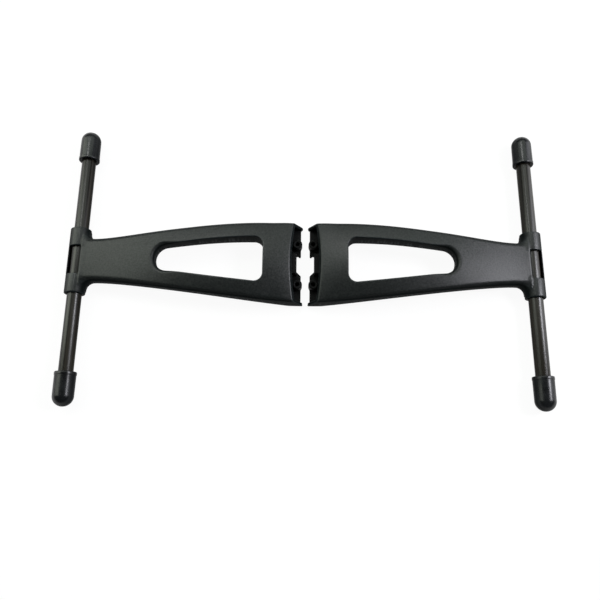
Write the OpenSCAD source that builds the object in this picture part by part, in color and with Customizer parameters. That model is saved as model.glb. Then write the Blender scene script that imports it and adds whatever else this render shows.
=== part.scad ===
// Pair of landing gear legs for a small camera drone, lying flat with their mouths facing.
// Each leg is an arched, tapered plastic plate in two shells, clamped round a straight skid tube.
// Millimetres. Origin on the table midway between the legs, X along the legs, Z up.

/* [Skid tube] */
// Outer diameter of the skid tube
tube_od = 10; // [8:0.5:12]
// Wall of the skid tube
tube_wall = 1; // [0.6:0.1:2]
// Length of the skid tube
tube_len = 196; // [150:1:240]

/* [End caps] */
// Wall of a cap round the tube
cap_wall = 2; // [1.4:0.1:3]
// Depth of a cap's socket
cap_seat = 19.5; // [14:0.5:26]
// Thickness of a cap beyond the tube's end
cap_end = 3.5; // [3:0.5:6]
// Step of the collar at a cap's rim
collar_h = 0.3; // [0.2:0.1:1]
// Length of the collar at a cap's rim
collar_len = 2.4; // [1.6:0.1:4]
// Radius of the rounding on the collar's end
collar_round = 0.7; // [0.3:0.1:1.2]

/* [Leg outline] */
// Distance from the tube's axis to the lip of the mouth
leg_len = 158.4; // [146:0.2:180]
// Space between the lips of the two legs
leg_gap = 6.3; // [5:0.1:20]
// Width of the leg next to the tube
neck_w = 31.4; // [28:0.2:36]
// Width of the leg at the mouth
mouth_w = 58.6; // [52:0.2:64]
// Length over which the outline leaves the neck straight
neck_lead = 22.7; // [15:0.1:30]
// Length over which the outline reaches the mouth straight
mouth_lead = 50; // [40:1:60]
// Radius of the fillets between the neck and the sleeve
neck_fillet = 6; // [4:0.2:7]

/* [Leg section] */
// Wall of the outer shell
wall = 2; // [1.4:0.1:2.4]
// Thickness of the inner shell
cover_t = 2.4; // [2:0.1:3]
// Radius of the crown across the leg
crown_r = 100; // [80:1:130]
// Radius of the shoulders along the leg
shoulder_r = 2.6; // [2.5:0.1:4]
// Where the outer shell ends over the tube, from the tube's axis
plate_edge = 2.8; // [2:0.1:4]
// Height of the outer shell's crown line at the lip
mouth_top = 14.5; // [13:0.1:17]
// Length of the crown line's first handle, at the tube
arch_out_len = 37; // [25:1:50]
// Rise of the crown line's first handle
arch_out_rise = 1.4; // [0:0.1:4]
// Length of the crown line's last handle, at the mouth
arch_in_len = 58; // [45:1:70]
// Rise of the crown line's last handle
arch_in_rise = 17.5; // [15:0.1:20]
// Length of the underside's first handle, at the tube
under_out_len = 45; // [35:1:55]
// Rise of the underside's first handle
under_out_rise = 5.5; // [3:0.1:6.5]
// Length of the underside's last handle, at the foot
under_in_len = 55; // [45:1:65]
// Rise of the underside's last handle
under_in_rise = 17; // [12:0.1:18]
// Length of the flat foot below the mouth
foot_len = 8.4; // [5:0.2:12]

/* [Window] */
// Where the window starts, from the tube's axis
window_start = 56.5; // [50:0.5:62]
// Length of the bridge between the window and the lip of the mouth
bridge_len = 26.7; // [22:0.1:36]
// Radius of the window's round end
window_round = 9.5; // [7:0.1:10]
// Width of the window at its wide end
window_w = 34; // [30:0.2:36]
// Radius of the corners at the window's wide end
window_corner = 7.5; // [4:0.1:8]

/* [Sleeve] */
// Wall of the sleeve round the tube
sleeve_wall = 2.1; // [1.6:0.05:2.3]
// Length of the sleeve
sleeve_len = 48; // [46:0.5:60]
// Radius of the rounding on the sleeve's ends
sleeve_round = 0.8; // [0.4:0.1:1.2]
// Length of the open space between the sleeve's two rings
sleeve_gap = 20.8; // [12:0.1:24]
// Depth of the relief round the tube in that space
relief = 1.1; // [0.8:0.1:1.3]
// Rise of the trough's outer wall over the tube's axis in that space
trough_rise = 3; // [2:0.1:4]

/* [Mouth] */
// Distance from the lip back to the rim at the crown line
rim_back = 7.8; // [6:0.1:12]
// Slant of the rim, length for each unit of height
rim_slant = 0.65; // [0.5:0.05:0.7]
// Distance between the two mounting bosses
boss_pitch = 30; // [26:0.2:36]
// Diameter of a mounting boss
boss_od = 7; // [6:0.1:8]
// Diameter of the screw hole in a mounting boss
boss_hole = 2.5; // [2:0.1:3.2]
// Height of a mounting boss
boss_h = 7.4; // [5:0.2:7.6]
// Height of the floor below the screw hole in a mounting boss
boss_floor = 1.2; // [0.8:0.1:2]
// Distance of a mounting boss from the lip
boss_inset = 2.6; // [2:0.1:3]
// Width of the notch in the lip
notch_w = 15; // [12:0.2:17]
// Depth of the notch in the lip
notch_d = 3.1; // [2.4:0.1:4]
// Radius of the hook at the notch's rear corner
hook_r = 0.8; // [0.5:0.1:1.2]
// Height of the web behind the notch
web_h = 9; // [7:0.1:10]
// Thickness of the web behind the notch
web_t = 6; // [4:0.1:8]

/* [Screws] */
// Diameter of a screw's shank
screw_d = 2; // [1.6:0.1:2.4]
// Length of a screw under its head
screw_len = 4.5; // [4:0.1:5]
// Diameter of a screw's head
head_d = 3.8; // [3.2:0.1:4.2]
// Height of a screw's head
head_h = 1.1; // [0.8:0.1:1.3]
// Width across the flats of the drive socket
drive_w = 1.3; // [1:0.1:1.6]
// Depth of the drive socket
drive_d = 0.6; // [0.4:0.1:0.7]
// Distance of the clamp screws from the tube's axis
clamp_x = 21; // [18:0.5:40]
// Distance of the clamp screws from the neck's sides
clamp_inset = 6.7; // [6:0.1:9]
// Distance of the rail screws from the tube's axis
rail_x = 111; // [105:0.5:118]
// Distance of the rail screws from the leg's sides
rail_inset = 5.6; // [5.2:0.1:6]
// Diameter of a screw post
post_d = 5; // [4.4:0.1:5.6]

/* [Fits] */
// Clearance round the tube in the sleeve
slide_fit = 0.05; // [0.02:0.01:0.1]
// Clearance round the tube in a cap
cap_fit = 0.05; // [0.02:0.01:0.1]
// Clearance between the tube's end and a cap
end_fit = 0.3; // [0.2:0.1:0.6]
// Clearance round a screw's shank and head
screw_fit = 0.05; // [0.02:0.01:0.1]
// Open seam between the two shells
seam = 0.15; // [0.1:0.05:0.3]
// Clearance between inner faces that don't touch
free_gap = 0.4; // [0.3:0.1:0.8]
// Clearance of the sleeve over the table
table_gap = 0.2; // [0.1:0.1:0.5]

/* [Hidden] */
$fn = 64;

// Tube, sleeve and cap sizes that follow from the fits
tube_r = tube_od / 2;
bore_r = tube_r + slide_fit;
sleeve_r = bore_r + sleeve_wall;
relief_r = bore_r + relief;
cap_r = tube_r + cap_fit + cap_wall;
cap_len = cap_seat + end_fit + cap_end;
axis_z = max(cap_r + collar_h, sleeve_r + table_gap);
leg_x = leg_len + leg_gap / 2;

// Curves of the leg, each with its length from the tube's axis first
fillet_end = sleeve_r + neck_fillet;
foot_start = leg_len - foot_len;
rim_top = leg_len - rim_back;
window_end = leg_len - bridge_len;
crown_start = [plate_edge, axis_z + sleeve_r];
crown_end = [leg_len, mouth_top];
crown_line = [
    crown_start, crown_start + [arch_out_len, arch_out_rise],
    crown_end + [-arch_in_len, arch_in_rise], crown_end];
under_start = [sleeve_r, axis_z - cover_t];
under_end = [foot_start, 0];
under_line = [
    under_start, under_start + [under_out_len, under_out_rise],
    under_end + [-under_in_len, under_in_rise], under_end];
side_start = [fillet_end, neck_w / 2];
side_end = [leg_len, mouth_w / 2];
side_line = [side_start, side_start + [neck_lead, 0], side_end - [mouth_lead, 0], side_end];

// Steps of the lofts: stations along the leg and points across it
past_end = 6;
neck_steps = 5;
body_steps = 22;
skin_arc = 4;
skin_crown = 8;
cavity_arc = 2;
cavity_crown = 6;
bulkhead = sleeve_r + wall;

// Sides of a screw's drive socket
hex = 6;

// Height over the whole leg, and how far cuts run past what they cut
clear_z = mouth_top + arch_in_rise;
spare = 1;

// Point on a cubic curve, and the curve's height at a given length
function curve(p, s) =
    pow(1 - s, 3) * p[0] + 3 * pow(1 - s, 2) * s * p[1] + 3 * (1 - s) * s * s * p[2] + s * s * s * p[3];
function solve(p, x, low = 0, high = 1, halvings = 30) =
    let (s = (low + high) / 2)
    halvings == 0 ? s
    : curve(p, s)[0] < x ? solve(p, x, s, high, halvings - 1)
    : solve(p, x, low, s, halvings - 1);
function height(p, x) = curve(p, solve(p, x))[1];
function under_z(x) = x > foot_start ? 0 : height(under_line, x);
function split_z(x) = under_z(x) + cover_t;
function crown_z(x) = height(crown_line, x);
function half_w(x) =
    x >= fillet_end ? height(side_line, x)
    : neck_w / 2 + neck_fillet - sqrt(pow(neck_fillet, 2) - pow(fillet_end - max(x, sleeve_r), 2));
function skin_z(x, y) = crown_z(x) - crown_r + sqrt(crown_r * crown_r - y * y);

// Places of the screws and mounting bosses, from the tube's axis and the leg's centre line
clamp_at = [clamp_x, neck_w / 2 - clamp_inset];
rail_at = [rail_x, half_w(rail_x) - rail_inset];
boss_at = [leg_len - boss_inset, boss_pitch / 2];

// Stations of a loft that starts at a given length: close together in the fillet, even after it
function stations(start) = concat(
    [for (i = [0:neck_steps - 1]) start + (fillet_end - start) * i / neck_steps],
    [for (i = [0:body_steps]) fillet_end + (leg_len - fillet_end) * i / body_steps],
    [leg_len + past_end]);

// Crowned section of the outer shell, from one lower edge over the top to the other
function shell_section(x, inset, low, arc_n, crown_n) =
    let (
        w = half_w(min(x, leg_len)) - inset,
        r = shoulder_r - inset,
        top = crown_z(min(x, leg_len)) - inset,
        big = crown_r - inset,
        lean = asin((w - r) / (big - r)),
        mid = top - big + (big - r) * cos(lean),
        arc = [for (i = [0:arc_n]) let (a = (90 - lean) * i / arc_n) [w - r + r * cos(a), mid + r * sin(a)]]
    )
    concat(
        [[x, -w, low]],
        [for (q = arc) [x, -q[0], q[1]]],
        [for (i = [1:crown_n - 1])
            let (a = lean * (2 * i / crown_n - 1)) [x, big * sin(a), top - big + big * cos(a)]],
        [for (i = [arc_n:-1:0]) [x, arc[i][0], arc[i][1]]],
        [[x, w, low]]);

// Plain section of the inner shell
function cover_section(x) =
    let (w = half_w(x), low = under_z(x), high = split_z(x) - seam / 2)
    [[x, -w, low], [x, -w, high], [x, w, high], [x, w, low]];

// Closed solid through a row of sections with the same number of points
module loft(rows) {
    n = len(rows[0]);
    last = len(rows) - 1;
    points = [for (row = rows, p = row) p];
    sides = [for (i = [0:last - 1], j = [0:n - 1])
        let (a = i * n + j, b = i * n + (j + 1) % n)
        each [[a, b, a + n], [b, b + n, a + n]]];
    start = [[for (j = [n - 1:-1:0]) j]];
    end = [[for (j = [0:n - 1]) last * n + j]];
    polyhedron(points, concat(sides, start, end));
}

// The two places of a leg, built with the tube's axis at X = 0 and the mouth toward +X
module left_place() translate([-leg_x, 0, 0]) children();
module right_place() mirror([1, 0, 0]) left_place() children();

// A copy in front and one behind the leg's centre line
module pair(at) for (side = [-1, 1]) translate([at[0], side * at[1], 0]) children();

// Round bar along Y, centred on the tube's axis
module bar(r, length) translate([0, 0, axis_z]) rotate([90, 0, 0]) cylinder(r = r, h = length, center = true);

// The sleeve's outer shape, along Y with its ends rounded
module sleeve_bar() translate([0, 0, axis_z]) rotate([90, 0, 0]) rotate_extrude() {
    translate([0, -sleeve_len / 2]) square([sleeve_r - sleeve_round, sleeve_len]);
    translate([0, sleeve_round - sleeve_len / 2]) square([sleeve_r, sleeve_len - 2 * sleeve_round]);
    for (end = [-1, 1])
        translate([sleeve_r - sleeve_round, end * (sleeve_len / 2 - sleeve_round)]) circle(r = sleeve_round);
}

// Window's outline, grown on all sides
module window_outline(grow, $fn = 32) {
    corner_at = [window_end - window_corner, window_w / 2 - window_corner];
    hull() {
        translate([window_start + window_round, 0]) circle(r = window_round + grow);
        for (side = [-1, 1])
            translate([corner_at[0], side * corner_at[1]]) circle(r = window_corner + grow);
    }
}

module window_prism(grow) translate([0, 0, -spare]) linear_extrude(clear_z + spare) window_outline(grow);

// All that lies past the mouth's slanted rim
module rim_cut() {
    top = crown_z(rim_top);
    rotate([90, 0, 0]) linear_extrude(2 * mouth_w, center = true)
        polygon([
            [rim_top + rim_slant * (top + spare), -spare],
            [rim_top - rim_slant * (clear_z - top), clear_z],
            [leg_len + 2 * past_end, clear_z],
            [leg_len + 2 * past_end, -spare]]);
}

// Box round the sleeve from one height to another, for halving it
module sleeve_box(low, high) translate([-sleeve_r - spare, -sleeve_len, low])
    cube([2 * (sleeve_r + spare), 2 * sleeve_len, high - low]);

// Upper half of the sleeve: two rings with an open space between them
module upper_rings() intersection() {
    difference() {
        sleeve_bar();
        bar(sleeve_r + spare, sleeve_gap);
    }
    sleeve_box(axis_z + seam / 2, axis_z + sleeve_r + spare);
}

// Lower half of the sleeve: one trough
module lower_trough() intersection() {
    sleeve_bar();
    sleeve_box(axis_z - sleeve_r - spare, axis_z - seam / 2);
}

// Outer wall of the trough between the rings, which stands up beside the tube
module trough_wall() intersection() {
    bar(sleeve_r, sleeve_gap - 2 * seam);
    translate([-sleeve_r - spare, -sleeve_len / 2, axis_z - spare])
        cube([sleeve_r + spare, sleeve_len, trough_rise + spare]);
}

// Room for the tube: a close bore in the rings and a relief between them
module tube_room() {
    bar(bore_r, sleeve_len + 2 * spare);
    bar(relief_r, sleeve_gap);
}

// Place of the seat under a screw's head
function seat_z(at) = under_z(at[0]) + cover_t / 2;

// Post inside the outer shell for one screw
module post(at) {
    low = split_z(at[0]) + free_gap;
    translate([0, 0, low]) cylinder(d = post_d, h = skin_z(at[0], at[1]) - wall / 2 - low);
}

// Room for one screw: shank, and head from below
module screw_room(at) {
    translate([0, 0, seat_z(at)]) cylinder(d = screw_d + 2 * screw_fit, h = screw_len + free_gap);
    translate([0, 0, seat_z(at) - cover_t]) cylinder(d = head_d + 2 * screw_fit, h = cover_t);
}

module outer_shell() {
    skin_x = stations(plate_edge);
    cavity_x = stations(bulkhead);
    floor_z = function (x) split_z(min(x, leg_len)) + seam / 2;
    difference() {
        union() {
            difference() {
                loft([for (x = skin_x) shell_section(x, 0, floor_z(x), skin_arc, skin_crown)]);
                difference() {
                    loft([for (x = cavity_x)
                        shell_section(x, wall, floor_z(x) - spare, cavity_arc, cavity_crown)]);
                    window_prism(wall);
                    pair(clamp_at) post(clamp_at);
                    pair(rail_at) post(rail_at);
                }
            }
            upper_rings();
        }
        window_prism(0);
        tube_room();
        rim_cut();
        pair(clamp_at) screw_room(clamp_at);
        pair(rail_at) screw_room(rail_at);
    }
}

// Lip's notch, square at the rear and chamfered at the front
module notch() {
    deep = leg_len - notch_d;
    translate([0, 0, -spare]) linear_extrude(cover_t + web_h + 2 * spare)
        polygon([
            [deep, notch_w / 2],
            [deep, notch_d - notch_w / 2],
            [leg_len, -notch_w / 2],
            [leg_len + boss_od, -notch_w / 2],
            [leg_len + boss_od, notch_w / 2]]);
}

module inner_shell() {
    translate([leg_len - hook_r, notch_w / 2, 0]) cylinder(r = hook_r, h = cover_t - seam / 2);
    inner_body();
}

module inner_body() {
    cover_x = [for (x = stations(0)) if (x <= leg_len) x];
    difference() {
        union() {
            loft([for (x = cover_x) cover_section(x)]);
            lower_trough();
            trough_wall();
            pair(boss_at) cylinder(d = boss_od, h = boss_h);
            translate([leg_len - notch_d - web_t, -notch_w / 2, cover_t / 2])
                cube([web_t, notch_w, web_h - cover_t / 2]);
        }
        window_prism(0);
        tube_room();
        notch();
        pair(boss_at) translate([0, 0, boss_floor]) cylinder(d = boss_hole, h = boss_h);
        pair(clamp_at) screw_room(clamp_at);
        pair(rail_at) screw_room(rail_at);
    }
}

module skid_tube() difference() {
    bar(tube_r, tube_len);
    bar(tube_r - tube_wall, tube_len + 2 * spare);
}

// One cap along +Y, with its rim toward the sleeve
module end_cap() {
    rim = tube_len / 2 - cap_seat;
    translate([0, rim, axis_z]) rotate([-90, 0, 0]) rotate_extrude() difference() {
        union() {
            square([cap_r, cap_len - cap_r]);
            square([cap_r + collar_h - collar_round, collar_len]);
            translate([0, collar_round]) square([cap_r + collar_h, collar_len - collar_round]);
            translate([cap_r + collar_h - collar_round, collar_round]) circle(r = collar_round);
            intersection() {
                translate([0, cap_len - cap_r]) circle(r = cap_r);
                square([cap_r, cap_len]);
            }
        }
        square([tube_r + cap_fit, cap_seat + end_fit]);
    }
}

module screw(at) {
    translate([0, 0, seat_z(at)]) cylinder(d = screw_d, h = screw_len);
    difference() {
        translate([0, 0, seat_z(at) - head_h]) cylinder(d = head_d, h = head_h);
        translate([0, 0, seat_z(at) - head_h - spare])
            cylinder(d = drive_w / cos(180 / hex), h = drive_d + spare, $fn = hex);
    }
}

module left_outer_shell() color("#3a3d3c") left_place() outer_shell();
module left_inner_shell() color("#2c2e2e") left_place() inner_shell();
module left_skid_tube() color("#45433f") left_place() skid_tube();
module left_front_cap() color("#222324") left_place() mirror([0, 1, 0]) end_cap();
module left_rear_cap() color("#222324") left_place() end_cap();
module left_clamp_screws() color("#8a8c8e") left_place() pair(clamp_at) screw(clamp_at);
module left_rail_screws() color("#8a8c8e") left_place() pair(rail_at) screw(rail_at);
module right_outer_shell() color("#3a3d3c") right_place() outer_shell();
module right_inner_shell() color("#2c2e2e") right_place() inner_shell();
module right_skid_tube() color("#45433f") right_place() skid_tube();
module right_front_cap() color("#222324") right_place() mirror([0, 1, 0]) end_cap();
module right_rear_cap() color("#222324") right_place() end_cap();
module right_clamp_screws() color("#8a8c8e") right_place() pair(clamp_at) screw(clamp_at);
module right_rail_screws() color("#8a8c8e") right_place() pair(rail_at) screw(rail_at);

left_outer_shell();
left_inner_shell();
left_skid_tube();
left_front_cap();
left_rear_cap();
left_clamp_screws();
left_rail_screws();
right_outer_shell();
right_inner_shell();
right_skid_tube();
right_front_cap();
right_rear_cap();
right_clamp_screws();
right_rail_screws();
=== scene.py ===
import math

import bpy
import numpy as np
from mathutils import Matrix, Vector


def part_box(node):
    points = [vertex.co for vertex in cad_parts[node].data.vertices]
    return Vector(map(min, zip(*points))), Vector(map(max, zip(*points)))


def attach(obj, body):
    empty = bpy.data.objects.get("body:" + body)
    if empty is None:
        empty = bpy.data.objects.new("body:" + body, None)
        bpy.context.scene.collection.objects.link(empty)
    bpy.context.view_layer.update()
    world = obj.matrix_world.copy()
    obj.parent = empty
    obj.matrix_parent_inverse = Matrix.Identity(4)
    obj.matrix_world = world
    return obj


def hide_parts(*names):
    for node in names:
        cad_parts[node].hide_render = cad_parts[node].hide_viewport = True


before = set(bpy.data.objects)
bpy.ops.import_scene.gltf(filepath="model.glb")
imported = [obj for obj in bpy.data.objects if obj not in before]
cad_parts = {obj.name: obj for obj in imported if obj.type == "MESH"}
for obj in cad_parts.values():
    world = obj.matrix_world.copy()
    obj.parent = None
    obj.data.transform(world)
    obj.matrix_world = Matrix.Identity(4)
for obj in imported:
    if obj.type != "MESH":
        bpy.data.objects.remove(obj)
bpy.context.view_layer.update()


# Skid tubes
# Each leg stands on a straight tube of pultruded carbon fibre: long strands drawn along the tube
# under a thin satin resin skin. The tube slides in the leg's sleeve and a cap closes each end.

MM = 0.001


def add(tree, kind, inputs=None, **settings):
    """Adds one node to a tree with its settings, and fills or links its inputs."""
    made = tree.nodes.new(kind)
    for name, value in settings.items():
        setattr(made, name, value)
    for name, value in (inputs or {}).items():
        if isinstance(value, bpy.types.NodeSocket):
            tree.links.new(value, made.inputs[name])
        else:
            made.inputs[name].default_value = value
    return made


def linear(code):
    """An sRGB hex colour as Blender's linear colour."""
    shares = [int(code[i:i + 2], 16) / 255 for i in (1, 3, 5)]
    return [s / 12.92 if s <= 0.04045 else ((s + 0.055) / 1.055) ** 2.4 for s in shares] + [1]


def every(size_mm):
    """Texture scale at which a pattern repeats about every so many millimetres."""
    return 1 / (size_mm * MM)


def new_material(name):
    """A material and its node tree, which is still empty."""
    made = bpy.data.materials.new(name)
    made.use_nodes = True
    made.node_tree.nodes.clear()
    return made, made.node_tree


def ranged(tree, value, source, target):
    """A value carried over from one range to another."""
    return add(tree, "ShaderNodeMapRange", {
        "Value": value, "From Min": source[0], "From Max": source[1],
        "To Min": target[0], "To Max": target[1]}).outputs["Result"]


def toned(tree, value, dark, light):
    """A colour between two, each given as the value that reaches it and its sRGB code."""
    ramp = add(tree, "ShaderNodeValToRGB", {"Fac": value})
    for stop, (reached, code) in zip(ramp.color_ramp.elements, (dark, light)):
        stop.position = reached
        stop.color = linear(code)
    return ramp.outputs["Color"]


# Pultruded carbon: near black with a brown cast, straight strands about 2 mm wide and finer ones
# that differ in tone and gloss, so a highlight on the tube breaks into long lines. The reflection
# is turned down on faces that point sideways, as painted shade that darkens the tube's flanks.
STRAND, DRAWN_OUT = 2.0, 0.015
# Painted shade: as a face turns from level to sideways across the first pair, its reflection level falls
# from the first to the second value of the other pair.
FLANKS, SHADED_FLANK_GLOSS = (0.55, 0.95), (0.5, 0.04)
carbon, tree = new_material("pultruded_carbon")
place = add(tree, "ShaderNodeTexCoord").outputs["Object"]
drawn = add(tree, "ShaderNodeMapping", {"Vector": place, "Scale": (1, DRAWN_OUT, 1)}).outputs["Vector"]
strand = add(tree, "ShaderNodeTexNoise", {
    "Vector": drawn, "Scale": every(STRAND), "Detail": 3}).outputs["Fac"]
ridge = add(tree, "ShaderNodeBump", {"Height": strand, "Strength": 0.25, "Distance": 0.05 * MM})
facing = add(tree, "ShaderNodeAttribute", attribute_name="sideways").outputs["Fac"]
# Painted shade: the reflection falls on the flanks, and the strands raise or lower it along the tube.
gloss_with_flank_shade = add(tree, "ShaderNodeMath", {
    0: ranged(tree, facing, FLANKS, SHADED_FLANK_GLOSS),
    1: ranged(tree, strand, (0.35, 0.65), (0.6, 1.25))}, operation="MULTIPLY")
shader = add(tree, "ShaderNodeBsdfPrincipled", {
    "Base Color": toned(tree, strand, (0.35, "#14120f"), (0.7, "#262219")),
    "Roughness": ranged(tree, strand, (0.3, 0.7), (0.24, 0.36)),
    "Specular IOR Level": gloss_with_flank_shade.outputs[0], "Normal": ridge.outputs["Normal"], "IOR": 1.55})
add(tree, "ShaderNodeOutputMaterial", {"Surface": shader.outputs["BSDF"]})

# The tube as a rule: its wall, as long as the tube and with rounded edges, swept round the axis.
TUBE_TURNS, EDGE_STEPS = 128, 3
tube_rule = bpy.data.node_groups.new("swept_tube", "GeometryNodeTree")
for name in ("Length", "Radius", "Wall", "Edge"):
    tube_rule.interface.new_socket(name, in_out="INPUT", socket_type="NodeSocketFloat")
tube_rule.interface.new_socket("Centre", in_out="INPUT", socket_type="NodeSocketVector")
tube_rule.interface.new_socket("Geometry", in_out="OUTPUT", socket_type="NodeSocketGeometry")
given = add(tube_rule, "NodeGroupInput").outputs
half_wall = add(tube_rule, "ShaderNodeMath", {0: given["Wall"], 1: 0.5}, operation="MULTIPLY")
mid_wall = add(tube_rule, "ShaderNodeMath", {
    0: given["Radius"], 1: half_wall.outputs[0]}, operation="SUBTRACT")
turn = add(tube_rule, "GeometryNodeCurvePrimitiveCircle", {
    "Resolution": TUBE_TURNS, "Radius": mid_wall.outputs[0]}, mode="RADIUS")
strip = add(tube_rule, "GeometryNodeCurvePrimitiveQuadrilateral", {
    "Width": given["Wall"], "Height": given["Length"]}, mode="RECTANGLE")
eased = add(tube_rule, "GeometryNodeFilletCurve", {
    "Curve": strip.outputs["Curve"], "Count": EDGE_STEPS, "Radius": given["Edge"]}, mode="POLY")
swept = add(tube_rule, "GeometryNodeCurveToMesh", {
    "Curve": turn.outputs["Curve"], "Profile Curve": eased.outputs["Curve"]})
laid = add(tube_rule, "GeometryNodeTransform", {
    "Geometry": swept.outputs["Mesh"], "Translation": given["Centre"],
    "Rotation": (math.radians(90), 0, 0)})
whole = add(tube_rule, "GeometryNodeRealizeInstances", {"Geometry": laid.outputs["Geometry"]})
dressed = add(tube_rule, "GeometryNodeSetMaterial", {
    "Geometry": whole.outputs["Geometry"], "Material": carbon})
add(tube_rule, "NodeGroupOutput", {"Geometry": dressed.outputs["Geometry"]})


def run_rule(name, rule, values, points=()):
    """Runs a Geometry Nodes tree once on some points, and keeps its result as a plain mesh."""
    mesh = bpy.data.meshes.new(name)
    mesh.from_pydata(points, [], [])
    piece = bpy.data.objects.new(name, mesh)
    bpy.context.scene.collection.objects.link(piece)
    maker = piece.modifiers.new("rule", "NODES")
    maker.node_group = rule
    for socket in rule.interface.items_tree:
        if socket.name in values:
            maker[socket.identifier] = values[socket.name]
    ready = piece.evaluated_get(bpy.context.evaluated_depsgraph_get())
    result = bpy.data.meshes.new_from_object(ready)
    for slot in reversed(range(len(result.materials))):
        if result.materials[slot] is None:
            result.materials.pop(index=slot)
    piece.modifiers.clear()
    piece.data = result
    piece.data.shade_smooth()
    piece.data.set_sharp_from_angle(angle=math.radians(40))
    return piece


def note_sides(piece):
    """Stores how far each point faces sideways, from 0 on a level face to 1 on an upright one."""
    normals = np.empty(len(piece.data.vertices) * 3, np.float32)
    piece.data.vertex_normals.foreach_get("vector", normals)
    sideways = piece.data.attributes.new("sideways", "FLOAT", "POINT")
    sideways.data.foreach_set("value", np.hypot(normals[0::3], normals[1::3]))


TUBE_WALL = 1.0 * MM
TUBE_EDGE = 0.15 * MM
for side in ("left", "right"):
    low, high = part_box(f"{side}_skid_tube")
    tube = run_rule(f"{side}_carbon_tube", tube_rule, {
        "Length": high.y - low.y, "Radius": (high.z - low.z) / 2, "Wall": TUBE_WALL,
        "Edge": TUBE_EDGE, "Centre": (low + high) / 2})
    note_sides(tube)
    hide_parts(f"{side}_skid_tube")
    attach(tube, f"{side}_tube")


# End caps
# Thick bullet-shaped caps of black rubber, moulded in one piece and pushed over the tube's ends.
# A low collar runs round the open rim, and the closed end is half a ball.

# Moulded rubber: blue-black and half glossy, with a faint bloom of dust that dulls it in patches.
# Its reflection is turned down on faces that point sideways, as painted shade on its flanks.
rubber, tree = new_material("moulded_rubber")
place = add(tree, "ShaderNodeTexCoord").outputs["Object"]
bloom = add(tree, "ShaderNodeTexNoise", {
    "Vector": place, "Scale": every(6), "Detail": 5}).outputs["Fac"]
pores = add(tree, "ShaderNodeTexNoise", {"Vector": place, "Scale": every(0.9), "Detail": 2})
pitted = add(tree, "ShaderNodeBump", {
    "Height": pores.outputs["Fac"], "Strength": 0.04, "Distance": 0.06 * MM})
facing = add(tree, "ShaderNodeAttribute", attribute_name="sideways").outputs["Fac"]
# Painted shade: the reflection level falls on the flanks.
shader = add(tree, "ShaderNodeBsdfPrincipled", {
    "Base Color": toned(tree, bloom, (0.3, "#090b0d"), (0.75, "#14171a")),
    "Roughness": ranged(tree, bloom, (0.3, 0.7), (0.22, 0.34)),
    "Specular IOR Level": ranged(tree, facing, FLANKS, SHADED_FLANK_GLOSS),
    "Normal": pitted.outputs["Normal"], "IOR": 1.52})
add(tree, "ShaderNodeOutputMaterial", {"Surface": shader.outputs["BSDF"]})

CAP_SOCKET_R = 5.05 * MM
CAP_END = 3.5 * MM
COLLAR_LEN = 2.4 * MM
COLLAR_STEP = 0.3 * MM
COLLAR_ROUND = 0.7 * MM
STEP_ROUND = 0.25 * MM
CAP_TURNS = 96


def arc(centre, radius, first, last, count):
    """Points of an arc in a section of radius and length, from one angle to another in degrees."""
    angles = np.radians(np.linspace(first, last, count))
    return [(centre[0] + radius * math.cos(a), centre[1] + radius * math.sin(a)) for a in angles]


def turned(section, count):
    """Points and faces of a section of radius and length, turned round the length."""
    angles = np.linspace(0, 2 * math.pi, count, endpoint=False)
    points, rows, faces = [], [], []
    for radius, length in section:
        if radius < 1e-7:
            rows.append([len(points)] * count)
            points.append((0, length, 0))
        else:
            rows.append([len(points) + i for i in range(count)])
            points += [(radius * math.cos(a), length, radius * math.sin(a)) for a in angles]
    for a, b in zip(rows, rows[1:]):
        for i in range(count):
            j = (i + 1) % count
            faces.append(tuple(dict.fromkeys((a[i], b[i], b[j], a[j]))))
    return np.array(points), faces


def mesh_piece(name, points, faces, material):
    """A plain object from points in metres and faces that point outwards."""
    mesh = bpy.data.meshes.new(name)
    mesh.from_pydata(points, [], faces)
    mesh.materials.append(material)
    mesh.shade_smooth()
    piece = bpy.data.objects.new(name, mesh)
    bpy.context.scene.collection.objects.link(piece)
    return piece


for side in ("left", "right"):
    for end, way in (("front", -1), ("rear", 1)):
        low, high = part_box(f"{side}_{end}_cap")
        cap_len = high.y - low.y
        collar_r = (high.x - low.x) / 2
        cap_r = collar_r - COLLAR_STEP
        section = [(0, cap_len - CAP_END), (CAP_SOCKET_R, cap_len - CAP_END)]
        section += arc((CAP_SOCKET_R + STEP_ROUND, STEP_ROUND), STEP_ROUND, 180, 270, 4)
        section += arc((collar_r - COLLAR_ROUND, COLLAR_ROUND), COLLAR_ROUND, -90, 0, 8)
        section += arc((collar_r - STEP_ROUND, COLLAR_LEN - STEP_ROUND), STEP_ROUND, 0, 80, 5)
        section += arc((0, cap_len - cap_r), cap_r, 0, 90, 28)
        section[-1] = (0, cap_len)
        points, faces = turned(section, CAP_TURNS)
        rim = low.y if way > 0 else high.y
        points *= (1, way, 1)
        points += ((low.x + high.x) / 2, rim, (low.z + high.z) / 2)
        if way < 0:
            faces = [face[::-1] for face in faces]
        cap = mesh_piece(f"{side}_{end}_rubber_cap", points, faces, rubber)
        cap.data.set_sharp_from_angle(angle=math.radians(50))
        note_sides(cap)
        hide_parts(f"{side}_{end}_cap")
        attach(cap, f"{side}_{end}_cap")


# Inner shells
# The underside of each leg: a cover of black ABS that follows the arch, with the window through
# it, the trough under the tube, and at the mouth a notched lip, a web and two screw bosses.

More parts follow.
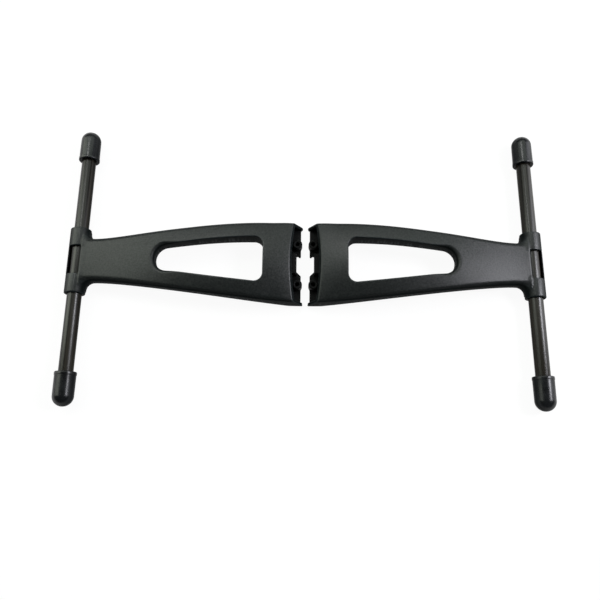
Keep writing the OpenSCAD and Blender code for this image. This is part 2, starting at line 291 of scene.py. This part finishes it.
# Sizes of both shells in millimetres, from the tube's axis along the leg to the mouth.
tube_low, tube_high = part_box("left_skid_tube")
LEG_X = -(tube_low.x + tube_high.x) / 2 / MM
AXIS_Z = (tube_low.z + tube_high.z) / 2 / MM
LEG_LEN = 158.4
SLEEVE_R, SLEEVE_LEN, SLEEVE_GAP, SLEEVE_ROUND = 7.15, 48.0, 20.8, 0.8
BORE_R, RELIEF_R, TROUGH_RISE = 5.05, 6.15, 3.0
COVER, WALL, SEAM = 2.4, 2.0, 0.15
NECK, NECK_FILLET = 15.7, 6.0
FOOT_START = LEG_LEN - 8.4
BOSS_AT, BOSS_R, BOSS_HOLE_R, BOSS_H, BOSS_FLOOR = (LEG_LEN - 2.6, 15.0), 3.5, 1.25, 7.4, 1.2
NOTCH_HALF, NOTCH_DEEP, HOOK_R = 7.5, 3.1, 0.8
WEB_H, WEB_T = 9.0, 6.0
SCREW_HOLE_R, HEAD_HOLE_R = 1.05, 1.95
CLAMP_ALONG, CLAMP_INSET = 21.0, 6.7
RAIL_ALONG, RAIL_INSET = 111.0, 5.6
EAR, EAR_SPAN, BANK_MID = 1.3, (26.8, 28.4), 1.0
MOUTH_HALF, HALF_ROOM = 29.3, 30.0

# Handles of the two long curves: lengths from their ends, and heights.
UNDER_NECK_HANDLE, UNDER_FOOT_HANDLE = (45.0, 5.5), (55.0, 17.0)
EDGE_NECK_HANDLE, EDGE_MOUTH_HANDLE = 22.7, 50.0

# Radii of the moulded edges and corners.
CRISP, SCREW_HOLE_ROUND, NOTCH_ROUND, BORE_ROUND = 0.2, 0.15, 0.25, 0.25
WEB_ROUND, LIP_ROUND, WINDOW_ROUND, COVER_ROUND, BOSS_ROUND = 0.4, 0.5, 0.6, 0.7, 0.9
FOOT_FILLET, TROUGH_FILLET = 0.6, 1.2


def drawn_line(*handles):
    """Lengths, heights and slopes along a cubic curve."""
    s = np.linspace(0, 1, 800)[:, None]
    a, b, c, d = (np.array(h, float) for h in handles)
    line = (1 - s) ** 3 * a + 3 * (1 - s) ** 2 * s * b + 3 * (1 - s) * s * s * c + s ** 3 * d
    length, height = line.T
    return length, height, np.gradient(height, length)


def along(line, u):
    """A curve's height at given lengths, and how much a unit of height shrinks across its slope."""
    return np.interp(u, line[0], line[1]), 1 / np.hypot(1, np.interp(u, line[0], line[2]))


UNDER = drawn_line(
    (SLEEVE_R, AXIS_Z - COVER),
    (SLEEVE_R + UNDER_NECK_HANDLE[0], AXIS_Z - COVER + UNDER_NECK_HANDLE[1]),
    (FOOT_START - UNDER_FOOT_HANDLE[0], UNDER_FOOT_HANDLE[1]),
    (FOOT_START, 0))
EDGE = drawn_line(
    (SLEEVE_R + NECK_FILLET, NECK),
    (SLEEVE_R + NECK_FILLET + EDGE_NECK_HANDLE, NECK),
    (LEG_LEN - EDGE_MOUTH_HANDLE, MOUTH_HALF),
    (LEG_LEN, MOUTH_HALF))
CLAMP_AT = (CLAMP_ALONG, NECK - CLAMP_INSET)
RAIL_AT = (RAIL_ALONG, float(along(EDGE, RAIL_ALONG)[0]) - RAIL_INSET)


def cut(a, b, r):
    """Inside both of two distances, with the edge between them rounded."""
    return np.minimum(np.maximum(a, b), -r) + np.hypot(np.maximum(a + r, 0), np.maximum(b + r, 0))


def join(a, b, r):
    """Inside either of two distances, with the corner between them filled."""
    return np.maximum(np.minimum(a, b), r) - np.hypot(np.maximum(r - a, 0), np.maximum(r - b, 0))


def ease(x, low, high):
    """Smooth change from 0 to 1 between two values."""
    t = np.clip((x - low) / (high - low), 0, 1)
    return t * t * (3 - 2 * t)


def window(u, y):
    """Distance out from the window: a round nose, sides that spread less and less, a blunt end."""
    nose, nose_r, spread = 66.0, 9.5, math.radians(7.33)
    bend, bend_from, end, corner_r = 0.0007, 85.0, 131.7, 6.5
    start = nose - nose_r * math.sin(spread)
    half = nose_r * math.cos(spread) + math.tan(spread) * (u - start)
    side = (np.abs(y) - half + bend * np.maximum(u - bend_from, 0) ** 2) * math.cos(spread)
    return np.where(u < start, np.hypot(u - nose, y) - nose_r, cut(side, u - end, corner_r))


def flared(u):
    """Half width of the leg, with the fillets that spread to the sleeve."""
    back = np.clip(SLEEVE_R + NECK_FILLET - np.maximum(u, SLEEVE_R), 0, NECK_FILLET)
    return along(EDGE, u)[0] + NECK_FILLET - np.sqrt(NECK_FILLET ** 2 - back ** 2)


def inner_shell(u, y, z):
    """Distance out from the underside cover, at a length, width and height in millimetres."""
    wide, rho = np.abs(y), np.hypot(u, z - AXIS_Z)
    # The arched cover with its eared lip, the trough under the tube, and the bank in its gap.
    under, lean = along(UNDER, u)
    cover = cut((under - z) * lean, wide - flared(u), COVER_ROUND)
    cover = cut(np.maximum(cover, -u), u - LEG_LEN - EAR * ease(wide, *EAR_SPAN), LIP_ROUND)
    trough = cut(rho - SLEEVE_R, wide - SLEEVE_LEN / 2, SLEEVE_ROUND)
    shell = cut(join(cover, trough, TROUGH_FILLET), (z - under - COVER + SEAM / 2) * lean, CRISP)
    bank = np.abs(z - AXIS_Z - BANK_MID) - TROUGH_RISE + BANK_MID
    bank = np.maximum(np.maximum(rho - SLEEVE_R, u), bank)
    shell = np.minimum(shell, cut(bank, wide - SLEEVE_GAP / 2 + SEAM, CRISP))
    # The bosses and the web at the mouth, the notch with one slanted side, and its hook.
    web = np.maximum(np.abs(u - LEG_LEN + NOTCH_DEEP + WEB_T / 2) - WEB_T / 2, wide - NOTCH_HALF)
    web = cut(web, np.maximum(z - WEB_H, COVER / 2 - z), WEB_ROUND)
    boss = np.hypot(u - BOSS_AT[0], wide - BOSS_AT[1])
    shell = join(shell, cut(boss - BOSS_R, z - BOSS_H, BOSS_ROUND), FOOT_FILLET)
    shell = join(np.maximum(shell, -z), web, FOOT_FILLET)
    deep = LEG_LEN - NOTCH_DEEP - u
    slant = (deep - y - NOTCH_HALF + NOTCH_DEEP) / math.sqrt(2)
    notch = np.maximum(np.maximum(deep, y - NOTCH_HALF), slant)
    shell = cut(shell, -notch, NOTCH_ROUND)
    hook = np.hypot(u - LEG_LEN + HOOK_R, y - NOTCH_HALF) - HOOK_R
    shell = np.minimum(shell, cut(hook, np.maximum(z - COVER, -z), CRISP))
    # The holes: in the bosses, for the screws and their heads, the window, and the tube's bore.
    shell = cut(shell, -np.maximum(boss - BOSS_HOLE_R, BOSS_FLOOR - z), BOSS_ROUND)
    for at in (CLAMP_AT, RAIL_AT):
        post = np.hypot(u - at[0], wide - at[1])
        seat = float(along(UNDER, at[0])[0]) + COVER / 2
        shell = cut(shell, SCREW_HOLE_R - post, SCREW_HOLE_ROUND)
        shell = cut(shell, -np.maximum(post - HEAD_HOLE_R, z - seat), CRISP)
    shell = cut(shell, -window(u, y), WINDOW_ROUND)
    shell = cut(shell, BORE_R - rho, BORE_ROUND)
    return cut(shell, -np.maximum(rho - RELIEF_R, wide - SLEEVE_GAP / 2), CRISP)


def moulded(shape, low, high, step):
    """Points and faces of the surface where a distance is zero, on a grid of small cells."""
    # Margins of the grid in cells, uneven so that fewer flat faces lie in its planes.
    before, after = 1.8, 2
    pulls, nudge, least_slope = 4, 0.02, 0.2
    axes = [np.arange(a - before * step, b + after * step, step) for a, b in zip(low, high)]
    field = shape(*np.meshgrid(*axes, indexing="ij"))
    # A cell with corners on both sides of the surface gets one point.
    inside = field < 0
    size = [n - 1 for n in field.shape]
    eight = [(i, j, k) for i in (0, 1) for j in (0, 1) for k in (0, 1)]
    held = sum(inside[i:i + size[0], j:j + size[1], k:k + size[2]].astype(np.int8)
               for i, j, k in eight)
    cells = np.argwhere((held > 0) & (held < 8))
    number = np.full(size, -1)
    number[tuple(cells.T)] = np.arange(len(cells))
    # The point starts at the mean of its edge crossings, and each crossed edge makes one face.
    total, hits = np.zeros((len(cells), 3)), np.zeros(len(cells))
    faces = []
    for axis in range(3):
        ahead = np.eye(3, dtype=int)[axis]
        over, up = np.eye(3, dtype=int)[(axis + 1) % 3], np.eye(3, dtype=int)[(axis + 2) % 3]
        for corner in (0 * over, over, up, over + up):
            start = cells + corner
            one, two = field[tuple(start.T)], field[tuple((start + ahead).T)]
            crossed = (one < 0) != (two < 0)
            share = np.where(crossed, one / np.where(crossed, one - two, 1), 0)
            total += np.where(crossed[:, None], start + share[:, None] * ahead, 0)
            hits += crossed
        first = np.take(inside, range(size[axis]), axis)
        second = np.take(inside, range(1, size[axis] + 1), axis)
        edges = np.argwhere(first != second)
        quads = np.stack([number[tuple((edges - d).T)] for d in (0 * over, over, over + up, up)], 1)
        outward = first[tuple(edges.T)]
        faces += [quads[outward], quads[~outward][:, ::-1]]
    points = np.array([a[0] for a in axes]) + step * total / hits[:, None]
    # Then it is pulled onto the surface along the slope of the distance.
    for _ in range(pulls):
        gap = shape(*points.T)
        slope = np.stack([shape(*(points + d).T) - shape(*(points - d).T)
                          for d in nudge * np.eye(3)], 1) / (2 * nudge)
        move = -slope * (gap / np.maximum((slope ** 2).sum(1), least_slope))[:, None]
        points += np.clip(move, -step / 2, step / 2)
    return points, np.concatenate(faces)


def shell_piece(name, shape, points, faces, way, material, keep):
    """A shell in its place, thinned to a share of its faces, with its worn edges as an attribute."""
    placed = np.stack([way * (points[:, 0] - LEG_X), points[:, 1], points[:, 2]], 1) * MM
    piece = mesh_piece(name, placed, (faces if way > 0 else faces[:, ::-1]).tolist(), material)
    piece.modifiers.new("thin", "DECIMATE").ratio = keep
    ready = piece.evaluated_get(bpy.context.evaluated_depsgraph_get())
    thinned = bpy.data.meshes.new_from_object(ready)
    piece.modifiers.clear()
    piece.data = thinned
    piece.data.shade_smooth()
    at = np.empty(len(thinned.vertices) * 3)
    thinned.vertices.foreach_get("co", at)
    u, y, z = (at.reshape(-1, 3) / MM).T
    u = way * u + LEG_X
    reach = 0.7
    bend = sum(shape(u + d[0], y + d[1], z + d[2]) for s in (-reach, reach) for d in s * np.eye(3))
    rub = thinned.attributes.new("edge", "FLOAT", "POINT")
    rub.data.foreach_set("value", (bend / reach).astype(np.float32))
    note_sides(piece)
    return piece


# Plain ABS: black, moulded in a finely stoned tool, so an even satin with faint flow marks.
plain_abs, tree = new_material("plain_black_abs")
place = add(tree, "ShaderNodeTexCoord").outputs["Object"]
flow = add(tree, "ShaderNodeMapping", {"Vector": place, "Scale": (0.25, 1, 1)}).outputs["Vector"]
marks = add(tree, "ShaderNodeTexNoise", {
    "Vector": flow, "Scale": every(9), "Detail": 4}).outputs["Fac"]
stone = add(tree, "ShaderNodeTexNoise", {"Vector": place, "Scale": every(0.8), "Detail": 2})
stoned = add(tree, "ShaderNodeBump", {
    "Height": stone.outputs["Fac"], "Strength": 0.15, "Distance": 0.05 * MM})
shader = add(tree, "ShaderNodeBsdfPrincipled", {
    "Base Color": toned(tree, marks, (0.3, "#090a0b"), (0.7, "#101112")),
    "Roughness": ranged(tree, marks, (0.3, 0.7), (0.55, 0.66)),
    "Specular IOR Level": 0.15, "Normal": stoned.outputs["Normal"], "IOR": 1.53})
add(tree, "ShaderNodeOutputMaterial", {"Surface": shader.outputs["BSDF"]})

CELL = 0.4
KEPT_SHARE = 0.35
COVER_TOP = 13.0
points, faces = moulded(
    inner_shell, (-SLEEVE_R, -HALF_ROOM, 0), (LEG_LEN + EAR + 1, HALF_ROOM, COVER_TOP), CELL)
for side, way in (("left", 1), ("right", -1)):
    cover = shell_piece(
        f"{side}_underside_cover", inner_shell, points, faces, way, plain_abs, KEPT_SHARE)
    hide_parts(f"{side}_inner_shell")
    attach(cover, f"{side}_leg")


# Outer shells
# The arched top of each leg, injection moulded in black ABS against a spark-eroded tool. It has a
# soft shoulder, a window with a dished nose, and two half rings that hold the tube from above.

PLATE_EDGE, BULKHEAD = 2.8, SLEEVE_R + WALL
SHOULDER, CROWN_R = 2.6, 100.0
RIM_TOP, RIM_SLANT = LEG_LEN - 7.8, 0.65
POST_R = 2.5
ARCH_LOW, ARCH_TOP, MOUTH_TOP = 2.0, 23.0, 14.5
CROWN_NECK_HANDLE, CROWN_MOUTH_HANDLE = (37.0, 1.4), (58.0, 17.5)
CROWN = drawn_line(
    (PLATE_EDGE, AXIS_Z + SLEEVE_R),
    (PLATE_EDGE + CROWN_NECK_HANDLE[0], AXIS_Z + SLEEVE_R + CROWN_NECK_HANDLE[1]),
    (LEG_LEN - CROWN_MOUTH_HANDLE[0], MOUTH_TOP + CROWN_MOUTH_HANDLE[1]),
    (LEG_LEN, MOUTH_TOP))
RIM_Z = float(along(CROWN, RIM_TOP)[0])

# Where the arch changes along the leg, and by how much its crown and shoulder radii change there.
NECK_SPAN, MOUTH_SPAN = (20.0, 80.0), (136.0, 156.0)
NECK_FLATTER, MOUTH_FLATTER, SHOULDER_CHANGE = 150.0, 45.0, 1.0
FILLET_SPAN, FILLET_FADE = (2.5, 4.5), (5.5, 8.5)
WINDOW_EDGE, NOSE_DISH, DISH_SPAN = 0.7, 2.3, (60.0, 76.0)
THREAD_END, HOLE_END, HOLE_SHUT = 5.7, 6.2, 9.0

# Radii of the edges and corners that only this shell has.
SEAM_EDGE, HOLLOW_EDGE, RING_BORE_ROUND = 0.25, 0.3, 0.3
RING_ROUND, RIM_ROUND, HOLLOW_ROUND, PLATE_ROUND = 0.4, 0.5, 0.8, 1.7


def outer_shell(u, y, z):
    """Distance out from the arched top, at a length, width and height in millimetres."""
    wide, rho = np.abs(y), np.hypot(u, z - AXIS_Z)
    # The solid arch: a crown that flattens to both ends, its shoulders, two rings, the window.
    crown, lean = along(CROWN, u)
    edge, tilt = along(EDGE, u)
    mouth, neck = ease(u, *MOUTH_SPAN), 1 - ease(u, *NECK_SPAN)
    round_r = CROWN_R + NECK_FLATTER * neck + MOUTH_FLATTER * mouth
    shoulder = SHOULDER + SHOULDER_CHANGE * neck - SHOULDER_CHANGE * mouth
    top = (z - crown + round_r - np.sqrt(round_r ** 2 - y * y)) * lean
    flank = (wide - edge) * tilt
    body = cut(cut(top, flank, shoulder), PLATE_EDGE - u, PLATE_ROUND)
    ring = cut(rho - SLEEVE_R, wide - SLEEVE_LEN / 2, SLEEVE_ROUND)
    ring = cut(ring, SLEEVE_GAP / 2 - wide, RING_ROUND)
    fade = 1 - ease(z, AXIS_Z + FILLET_FADE[0], AXIS_Z + FILLET_FADE[1])
    spread = ease(u, *FILLET_SPAN) * fade
    solid = join(body, ring, CRISP + (NECK_FILLET - CRISP) * spread)
    hole = window(u, y)
    solid = cut(solid, -hole, WINDOW_EDGE + NOSE_DISH * (1 - ease(u, *DISH_SPAN)))
    # Its hollow, which leaves a wall all round, a bulkhead at the tube and the screw posts.
    hollow = cut(top + WALL, flank + WALL, np.maximum(shoulder - WALL, CRISP))
    hollow = cut(np.maximum(hollow, BULKHEAD - u), WALL - hole, HOLLOW_ROUND)
    for at in (CLAMP_AT, RAIL_AT):
        hollow = np.maximum(hollow, POST_R - np.hypot(u - at[0], wide - at[1]))
    shell = cut(solid, -hollow, HOLLOW_EDGE)
    # The cuts: at the seam, for the tube, blind holes for the screws, and the mouth's slanted rim.
    under, level = along(UNDER, u)
    shell = cut(shell, (under + COVER + SEAM / 2 - z) * level, SEAM_EDGE)
    shell = cut(shell, BORE_R - rho, RING_BORE_ROUND)
    shell = cut(shell, -np.maximum(rho - RELIEF_R, wide - SLEEVE_GAP / 2), CRISP)
    for at in (CLAMP_AT, RAIL_AT):
        floor = along(UNDER, at[0])[0]
        shut = HOLE_SHUT * ease(z, floor + THREAD_END, floor + HOLE_END)
        shell = np.maximum(shell, SCREW_HOLE_R - np.hypot(u - at[0], wide - at[1]) - shut)
    rim = (u - RIM_TOP - RIM_SLANT * (RIM_Z - z)) / math.hypot(1, RIM_SLANT)
    return cut(shell, rim, RIM_ROUND)


# Spark-eroded ABS: black, with a matt grain of about 0.3 mm from the tool, whose pits are duller
# than the peaks. The grain is drawn at 1.1 mm so that it shows. The top is a satin, and handling
# has polished the edges. Upright faces are rougher, and their reflection is turned down to almost
# none as painted shade, which darkens the flanks and the window's walls.
grained_abs, tree = new_material("spark_grained_abs")
place = add(tree, "ShaderNodeTexCoord").outputs["Object"]
grain = add(tree, "ShaderNodeTexNoise", {
    "Vector": place, "Scale": every(1.1), "Detail": 3}).outputs["Fac"]
cloud = add(tree, "ShaderNodeTexNoise", {
    "Vector": place, "Scale": every(22), "Detail": 3}).outputs["Fac"]
edge = add(tree, "ShaderNodeAttribute", attribute_name="edge").outputs["Fac"]
facing = add(tree, "ShaderNodeAttribute", attribute_name="sideways").outputs["Fac"]
UPRIGHT = (0.35, 0.85)
rubbed = ranged(tree, edge, (0.35, 1.2), (0, 1))
worn = add(tree, "ShaderNodeMix", {
    "Factor": rubbed, "A": toned(tree, cloud, (0.3, "#0b0f0f"), (0.7, "#111616")),
    "B": linear("#22282a")}, data_type="RGBA")
# Painted shade: the reflection falls to almost none on upright faces, and the grain's pits lower it a
# little.
gloss_with_flank_shade = add(tree, "ShaderNodeMath", {
    0: ranged(tree, facing, UPRIGHT, (0.5, 0.03)),
    1: ranged(tree, grain, (0.3, 0.7), (0.78, 1.22))}, operation="MULTIPLY")
matt = add(tree, "ShaderNodeMath", {
    0: ranged(tree, grain, (0.3, 0.7), (0.34, 0.44)),
    1: ranged(tree, facing, UPRIGHT, (0.0, 0.3))})
polish = add(tree, "ShaderNodeMath", {
    0: rubbed, 1: -0.1, 2: matt.outputs[0]}, operation="MULTIPLY_ADD")
eroded = add(tree, "ShaderNodeBump", {"Height": grain, "Strength": 0.55, "Distance": 0.08 * MM})
shader = add(tree, "ShaderNodeBsdfPrincipled", {
    "Base Color": worn.outputs["Result"], "Roughness": polish.outputs[0],
    "Specular IOR Level": gloss_with_flank_shade.outputs[0], "Normal": eroded.outputs["Normal"], "IOR": 1.53})
add(tree, "ShaderNodeOutputMaterial", {"Surface": shader.outputs["BSDF"]})

points, faces = moulded(
    outer_shell, (-SLEEVE_R, -HALF_ROOM, ARCH_LOW), (LEG_LEN + 1, HALF_ROOM, ARCH_TOP), CELL)
for side, way in (("left", 1), ("right", -1)):
    arch = shell_piece(f"{side}_arched_top", outer_shell, points, faces, way, grained_abs, KEPT_SHARE)
    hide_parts(f"{side}_outer_shell")
    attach(arch, f"{side}_leg")


# Screws
# Four small socket screws of zinc plated steel in each leg, driven up from below: two next to the
# sleeve, which clamp it, and two beside the window.

# Zinc plated steel: bright grey metal, a little uneven in tone and gloss.
plated, tree = new_material("zinc_plated_steel")
place = add(tree, "ShaderNodeTexCoord").outputs["Object"]
stain = add(tree, "ShaderNodeTexNoise", {
    "Vector": place, "Scale": every(0.9), "Detail": 3}).outputs["Fac"]
shader = add(tree, "ShaderNodeBsdfPrincipled", {
    "Base Color": toned(tree, stain, (0, "#85888c"), (1, "#b4b7ba")), "Metallic": 1.0,
    "Roughness": ranged(tree, stain, (0.3, 0.7), (0.22, 0.4))})
add(tree, "ShaderNodeOutputMaterial", {"Surface": shader.outputs["BSDF"]})

# One screw, head down and its seat at the origin, set at each of the points.
HEAD_SIDES, SHANK_SIDES, KEY_SIDES = 40, 24, 6
screw_rule = bpy.data.node_groups.new("socket_screws", "GeometryNodeTree")
screw_rule.interface.new_socket("Geometry", in_out="INPUT", socket_type="NodeSocketGeometry")
for name in ("Head radius", "Head height", "Chamfer", "Shank radius", "Shank length",
             "Socket radius", "Socket depth"):
    screw_rule.interface.new_socket(name, in_out="INPUT", socket_type="NodeSocketFloat")
screw_rule.interface.new_socket("Geometry", in_out="OUTPUT", socket_type="NodeSocketGeometry")
given = add(screw_rule, "NodeGroupInput").outputs
brow = add(screw_rule, "ShaderNodeMath", {
    0: given["Head radius"], 1: given["Chamfer"]}, operation="SUBTRACT")
flat = add(screw_rule, "ShaderNodeMath", {
    0: given["Head height"], 1: given["Chamfer"]}, operation="SUBTRACT")
head_low = add(screw_rule, "ShaderNodeMath", {0: given["Head height"], 1: -1.0}, operation="MULTIPLY")
drum_low = add(screw_rule, "ShaderNodeMath", {0: flat.outputs[0], 1: -1.0}, operation="MULTIPLY")
to_drum_low = add(screw_rule, "ShaderNodeCombineXYZ", {"Z": drum_low.outputs[0]})
to_head_low = add(screw_rule, "ShaderNodeCombineXYZ", {"Z": head_low.outputs[0]})
twice = add(screw_rule, "ShaderNodeMath", {0: given["Socket depth"], 1: 2.0}, operation="MULTIPLY")
drum = add(screw_rule, "GeometryNodeMeshCone", {
    "Vertices": HEAD_SIDES, "Radius Top": given["Head radius"], "Radius Bottom": given["Head radius"],
    "Depth": flat.outputs[0]}, fill_type="NGON")
drum_down = add(screw_rule, "GeometryNodeTransform", {
    "Geometry": drum.outputs["Mesh"], "Translation": to_drum_low.outputs["Vector"]})
rim = add(screw_rule, "GeometryNodeMeshCone", {
    "Vertices": HEAD_SIDES, "Radius Top": given["Head radius"], "Radius Bottom": brow.outputs[0],
    "Depth": given["Chamfer"]}, fill_type="NGON")
rim_down = add(screw_rule, "GeometryNodeTransform", {
    "Geometry": rim.outputs["Mesh"], "Translation": to_head_low.outputs["Vector"]})
both = add(screw_rule, "GeometryNodeMeshBoolean", operation="UNION", solver="EXACT")
for part in (drum_down, rim_down):
    screw_rule.links.new(part.outputs["Geometry"], both.inputs["Mesh 2"])
key = add(screw_rule, "GeometryNodeMeshCylinder", {
    "Vertices": KEY_SIDES, "Radius": given["Socket radius"], "Depth": twice.outputs[0]})
key_down = add(screw_rule, "GeometryNodeTransform", {
    "Geometry": key.outputs["Mesh"], "Translation": to_head_low.outputs["Vector"]})
head = add(screw_rule, "GeometryNodeMeshBoolean", {
    "Mesh 1": both.outputs["Mesh"], "Mesh 2": key_down.outputs["Geometry"]},
    operation="DIFFERENCE", solver="EXACT")
shank = add(screw_rule, "GeometryNodeMeshCone", {
    "Vertices": SHANK_SIDES, "Radius Top": given["Shank radius"], "Radius Bottom": given["Shank radius"],
    "Depth": given["Shank length"]}, fill_type="NGON")
screw = add(screw_rule, "GeometryNodeJoinGeometry")
for part in (head.outputs["Mesh"], shank.outputs["Mesh"]):
    screw_rule.links.new(part, screw.inputs["Geometry"])
spread = add(screw_rule, "GeometryNodeInstanceOnPoints", {
    "Points": given["Geometry"], "Instance": screw.outputs["Geometry"]})
whole = add(screw_rule, "GeometryNodeRealizeInstances", {"Geometry": spread.outputs["Instances"]})
dressed = add(screw_rule, "GeometryNodeSetMaterial", {
    "Geometry": whole.outputs["Geometry"], "Material": plated})
add(screw_rule, "NodeGroupOutput", {"Geometry": dressed.outputs["Geometry"]})

HEAD_H, CHAMFER, SHANK_R = 1.1 * MM, 0.2 * MM, 1.0 * MM
KEY_R, KEY_DEEP = 0.75 * MM, 0.6 * MM
for side in ("left", "right"):
    seats = []
    for node in (f"{side}_clamp_screws", f"{side}_rail_screws"):
        low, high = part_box(node)
        head_r = (high.x - low.x) / 2
        seats += [((low.x + high.x) / 2, y, low.z + HEAD_H) for y in (low.y + head_r, high.y - head_r)]
    screws = run_rule(f"{side}_socket_screws", screw_rule, {
        "Head radius": head_r, "Head height": HEAD_H, "Chamfer": CHAMFER, "Shank radius": SHANK_R,
        "Shank length": high.z - low.z - HEAD_H, "Socket radius": KEY_R,
        "Socket depth": KEY_DEEP}, seats)
    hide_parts(f"{side}_clamp_screws", f"{side}_rail_screws")
    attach(screws, f"{side}_leg")


# Table, light and camera
# A white table that runs on past the picture. A low softbox stands on each side, a broad one hangs
# over the back, and two small lamps shine from the right and from high behind. The pair is seen
# from nearly straight above, a little from the front.

SELF_LIT, WHITE = 0.88, 1.06
REACH, TABLE_GAP = 6.0, 0.2 * MM
paper, tree = new_material("white_table")
ray = add(tree, "ShaderNodeLightPath").outputs
seen = add(tree, "ShaderNodeMath", {
    0: ray["Is Camera Ray"], 1: ray["Is Glossy Ray"]}, operation="MAXIMUM")
shown = add(tree, "ShaderNodeMath", {
    0: seen.outputs[0], 1: ray["Is Transmission Ray"]}, operation="MAXIMUM")
share = add(tree, "ShaderNodeMath", {0: shown.outputs[0], 1: SELF_LIT}, operation="MULTIPLY")
matt = add(tree, "ShaderNodeBsdfDiffuse", {"Color": linear("#f4f4f4")})
white = add(tree, "ShaderNodeEmission", {"Color": linear("#ffffff"), "Strength": WHITE})
mixed = add(tree, "ShaderNodeMixShader", {
    0: share.outputs[0], 1: matt.outputs["BSDF"], 2: white.outputs["Emission"]})
add(tree, "ShaderNodeOutputMaterial", {"Surface": mixed.outputs["Shader"]})
corners = ((-REACH, -REACH), (REACH, -REACH), (REACH, REACH), (-REACH, REACH))
table = mesh_piece("table", [(x, y, -TABLE_GAP) for x, y in corners], [(0, 1, 2, 3)], paper)

# The room is white to the eye and, near the horizon, in reflections, and dim as a light.
ROOM_LIGHT, HORIZON = 0.08, (0.04, 0.16)
world = bpy.data.worlds.new("studio")
bpy.context.scene.world = world
world.use_nodes = True
tree = world.node_tree
tree.nodes.clear()
ray = add(tree, "ShaderNodeLightPath").outputs
way_out = add(tree, "ShaderNodeTexCoord").outputs["Generated"]
height = add(tree, "ShaderNodeSeparateXYZ", {"Vector": way_out}).outputs["Z"]
mirrored = add(tree, "ShaderNodeMath", {
    0: ray["Is Glossy Ray"], 1: ranged(tree, height, HORIZON, (1.0, 0.0))}, operation="MULTIPLY")
seen = add(tree, "ShaderNodeMath", {
    0: ray["Is Camera Ray"], 1: ray["Is Transmission Ray"]}, operation="MAXIMUM")
shown = add(tree, "ShaderNodeMath", {
    0: seen.outputs[0], 1: mirrored.outputs[0]}, operation="MAXIMUM")
sky = add(tree, "ShaderNodeBackground", {
    "Color": linear("#ffffff"), "Strength": ranged(tree, shown.outputs[0], (0, 1), (ROOM_LIGHT, 1.0))})
add(tree, "ShaderNodeOutputWorld", {"Surface": sky.outputs["Background"]})

# Each lamp's place and size in metres, its power in watts and its colour.
LAMPS = {
    "right_softbox": ((0.8, 0.24, 0.4), (0.6, 0.7), 2.6, "#f6f8ff"),
    "right_lamp": ((0.72, 0.12, 0.66), (0.3, 0.26), 4.2, "#f8f8ff"),
    "left_softbox": ((-0.74, 0.22, 0.46), (0.6, 0.7), 3.1, "#f8fff2"),
    "back_softbox": ((-0.08, 0.5, 0.72), (1.3, 0.6), 2.7, "#f4fff6"),
    "ceiling_lamp": ((-0.3, 0.85, 1.56), (0.3, 0.3), 2.3, "#ffffff"),
}
for name, (spot, size, power, colour) in LAMPS.items():
    lamp = bpy.data.lights.new(name, "AREA")
    lamp.shape = "RECTANGLE"
    lamp.size, lamp.size_y = size
    lamp.energy = power
    lamp.color = linear(colour)[:3]
    holder = bpy.data.objects.new(name, lamp)
    holder.location = spot
    holder.rotation_mode = "QUATERNION"
    holder.rotation_quaternion = Vector(spot).to_track_quat("Z", "Y")
    holder.visible_camera = False
    bpy.context.scene.collection.objects.link(holder)

CAMERA_AT = Vector((-0.0035, -0.1340, 0.4086))
CAMERA_LENS, SENSOR = 35.64, 36
CAMERA_TILT, CAMERA_ROLL = math.radians(15), math.radians(0.6)
lens = bpy.data.cameras.new("camera")
lens.sensor_width = SENSOR
lens.lens = CAMERA_LENS
lens.clip_start, lens.clip_end = 0.01, 50
camera = bpy.data.objects.new("camera", lens)
camera.matrix_world = (Matrix.Translation(CAMERA_AT) @ Matrix.Rotation(CAMERA_TILT, 4, "X")
                       @ Matrix.Rotation(CAMERA_ROLL, 4, "Z"))
bpy.context.scene.collection.objects.link(camera)
bpy.context.scene.camera = camera
bpy.context.scene.view_settings.view_transform = "Standard"
